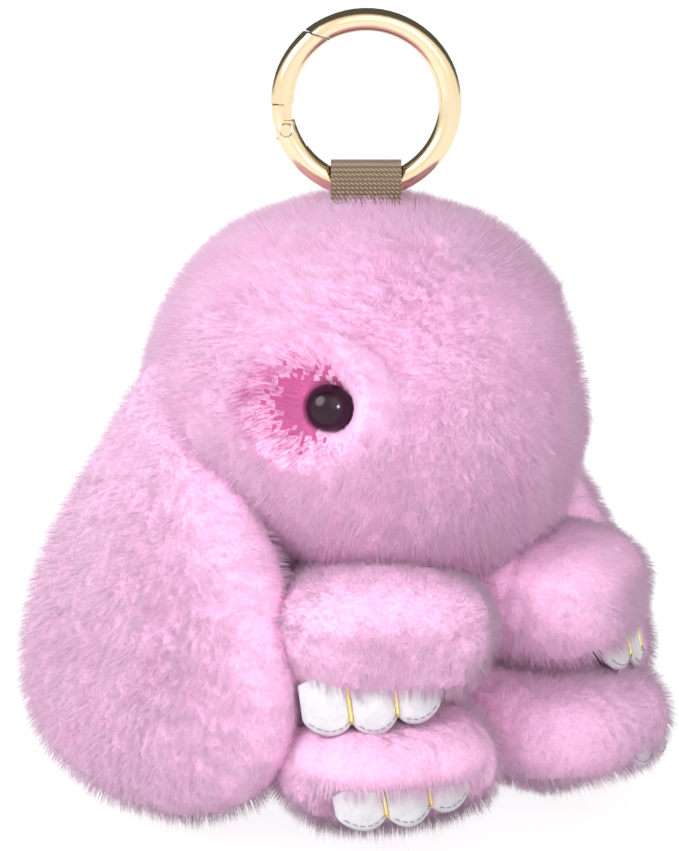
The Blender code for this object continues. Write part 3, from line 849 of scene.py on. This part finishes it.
def webbing_material():
    """Twill: fine slanting ribs, with painted shade in the grooves between them so that their crowns look
    lighter.
    """
    made = new_material("taupe_webbing", (0.26, 0.18, 0.11), 0.8, Sheen_Weight=0.2)
    place = add_node(made, "ShaderNodeTexCoord")
    turned = add_node(made, "ShaderNodeMapping")
    turned.inputs["Rotation"].default_value = (0, 0, radians(40))
    link(made, place.outputs["Object"], turned.inputs["Vector"])
    heights = []
    for direction, slant in (("DIAGONAL", 800), ("Z", 420)):
        ribs = add_node(made, "ShaderNodeTexWave", in_Scale=slant, in_Distortion=0.3, in_Detail=1.0)
        ribs.wave_type = "BANDS"
        ribs.bands_direction = direction
        link(made, turned.outputs["Vector"], ribs.inputs["Vector"])
        heights.append(ribs.outputs["Fac"])
    both = add_node(made, "ShaderNodeMath", operation="MULTIPLY")
    link(made, heights[0], both.inputs[0])
    link(made, heights[1], both.inputs[1])
    # The weave's ribs are the webbing's own; the dark grooves and lighter crowns are painted shade and light
    # that follow the rib height.
    tint = colour_ramp(made, both.outputs["Value"], ((0.05, (0.13, 0.085, 0.05)), (0.7, (0.42, 0.31, 0.21))))
    link(made, tint, shader_of(made).inputs["Base Color"])
    bump(made, both.outputs["Value"], 0.8, 0.3 * MM)
    return made


eye_look = new_material("plum_bead", (0.022, 0.004, 0.015), 0.16, Specular_IOR_Level=0.3)
gold = gold_material()
steel = new_material("spring_steel", (0.62, 0.55, 0.45), 0.25, 1.0)
wadding = new_material("wadding", (0.90, 0.90, 0.88), 1.0)
plastic = new_material("washer_plastic", (0.85, 0.85, 0.83), 0.45)
webbing_look = webbing_material()
webbing_thread = new_material("webbing_thread", (0.40, 0.31, 0.23), 0.7)

for place in PADS:
    for side in ("right", "left"):
        build_toes(place, side)
for side in ("right", "left"):
    bead(f"bead_{side}", side)
for piece, body, look in (("ring_body", "ring", gold), ("ring_gate", "gate", gold),
                          ("gate_rivet", "ring", gold), ("gate_spring", "ring", steel)):
    smooth_copy(f"smooth_{piece}", piece, look, body)


def build_webbing():
    """The folded strip, as a smooth copy of its CAD solid."""
    strip = smooth_copy("webbing", "webbing_loop", webbing_look, "toy", sharp=radians(50))


build_webbing()
for name, node in nodes.items():
    look = None
    if "stuffing" in name:
        look = wadding
    elif "washer" in name:
        look = plastic
    elif name == "loop_stitch":
        look = webbing_thread
    if look is not None:
        node.data.materials.clear()
        node.data.materials.append(look)

# ---------------------------------------------------------------- stage and light

WORLD_DIM = 0.58
WORLD_BRIGHT = 1.18
KEY_POWER = 1.9
FILL_POWER = 0.5
HEAD_POWER = 22.0
PAPER_GLOW = 0.85
STUDIO_GREY = (0.8, 0.8, 0.8)          # what lights the object
STUDIO_WHITE = (1, 1, 1)               # what the camera sees
MIRRORED_CREAM = (1, 0.96, 0.88)
CEILING_EDGE = (0.15, 0.45)            # where the mirrored ceiling starts and is darkest
CEILING_STRENGTHS = (1.1, 0.10)
FLOOR_REACH = 3.0
FLOOR_DROP = 10 * MM                   # below the fabric, under the longest fur


def stage_plane(name, material, corners):
    mesh = bpy.data.meshes.new(name)
    mesh.from_pydata([tuple(corner) for corner in corners], [], [(0, 1, 2, 3)])
    mesh.materials.append(material)
    made = add_object(name, mesh)
    return made


def soft_light(name, azimuth, elevation, distance, size, power):
    """An area light round the object, at angles measured like the camera's."""
    light = bpy.data.lights.new(name, "AREA")
    light.shape = "DISK"
    light.size = size
    light.energy = power
    look_back(add_object(name, light), head_middle, direction(azimuth, elevation), distance)


def head_light(power):
    """A narrow light from beside the camera that lifts the head above the paws."""
    light = bpy.data.lights.new("head_light", "SPOT")
    light.energy = power
    light.spot_size = radians(10)
    light.spot_blend = 1.0
    light.shadow_soft_size = 0.08
    away = direction(VIEW_AZIMUTH + radians(25), radians(15))
    look_back(add_object("head_light", light), head_middle, away, 0.7)


def strength_towards(tree, rays, way, ends, strengths):
    """A value that goes from one strength to the other as a ray turns towards a direction."""
    facing = tree.nodes.new("ShaderNodeVectorMath")
    facing.operation = "DOT_PRODUCT"
    facing.inputs[1].default_value = way
    spread = tree.nodes.new("ShaderNodeMapRange")
    spread.inputs["From Min"].default_value, spread.inputs["From Max"].default_value = ends
    spread.inputs["To Min"].default_value, spread.inputs["To Max"].default_value = strengths
    tree.links.new(rays, facing.inputs[0])
    tree.links.new(facing.outputs["Value"], spread.inputs["Value"])
    return spread.outputs["Result"]


def background(tree, colour, strength=None):
    made = tree.nodes.new("ShaderNodeBackground")
    made.inputs["Color"].default_value = (*colour, 1)
    if strength is not None:
        tree.links.new(strength, made.inputs["Strength"])
    return made.outputs["Background"]


def either(tree, choice, if_not, if_so):
    made = tree.nodes.new("ShaderNodeMixShader")
    tree.links.new(choice, made.inputs["Fac"])
    tree.links.new(if_not, made.inputs[1])
    tree.links.new(if_so, made.inputs[2])
    return made.outputs["Shader"]


def build_world():
    """A white studio, lit more from the left and above, with a dark ceiling mirrored in the metal."""
    world = bpy.data.worlds.new("studio")
    world.use_nodes = True
    tree = world.node_tree
    rays = tree.nodes.new("ShaderNodeTexCoord").outputs["Generated"]
    kinds = tree.nodes.new("ShaderNodeLightPath").outputs
    side = VIEW_AZIMUTH - radians(60)
    bright_way = (sin(side) * 0.8, -cos(side) * 0.8, 0.6)
    ceiling_way = (Vector((0, 0, 0.8)) - FACING * 0.6).normalized()
    studio = background(tree, STUDIO_GREY,
                        strength_towards(tree, rays, bright_way, (-1.0, 1.0), (WORLD_DIM, WORLD_BRIGHT)))
    mirrored = background(tree, MIRRORED_CREAM,
                          strength_towards(tree, rays, ceiling_way, CEILING_EDGE, CEILING_STRENGTHS))
    lit = either(tree, kinds["Is Glossy Ray"], studio, mirrored)
    backdrop = background(tree, STUDIO_WHITE)
    seen = either(tree, kinds["Is Camera Ray"], lit, backdrop)
    tree.links.new(seen, tree.nodes["World Output"].inputs["Surface"])
    bpy.context.scene.world = world


def build_stage():
    paper = new_material("stage_white", (0.30, 0.30, 0.30), 0.9)
    shader_of(paper).inputs["Emission Color"].default_value = (1, 1, 1, 1)
    shader_of(paper).inputs["Emission Strength"].default_value = PAPER_GLOW
    floor_z = cad_low.z - FLOOR_DROP
    signs = ((-1, -1), (1, -1), (1, 1), (-1, 1))
    floor = stage_plane("floor", paper, [(x * FLOOR_REACH, y * FLOOR_REACH, floor_z) for x, y in signs])
    floor.visible_diffuse = False
    build_world()
    bpy.context.scene.view_settings.view_transform = "Standard"
    soft_light("key", VIEW_AZIMUTH - radians(50), radians(30), distance=0.6, size=0.35, power=KEY_POWER)
    soft_light("fill", VIEW_AZIMUTH + radians(12), radians(28), distance=0.7, size=0.5, power=FILL_POWER)
    head_light(HEAD_POWER)


build_stage()
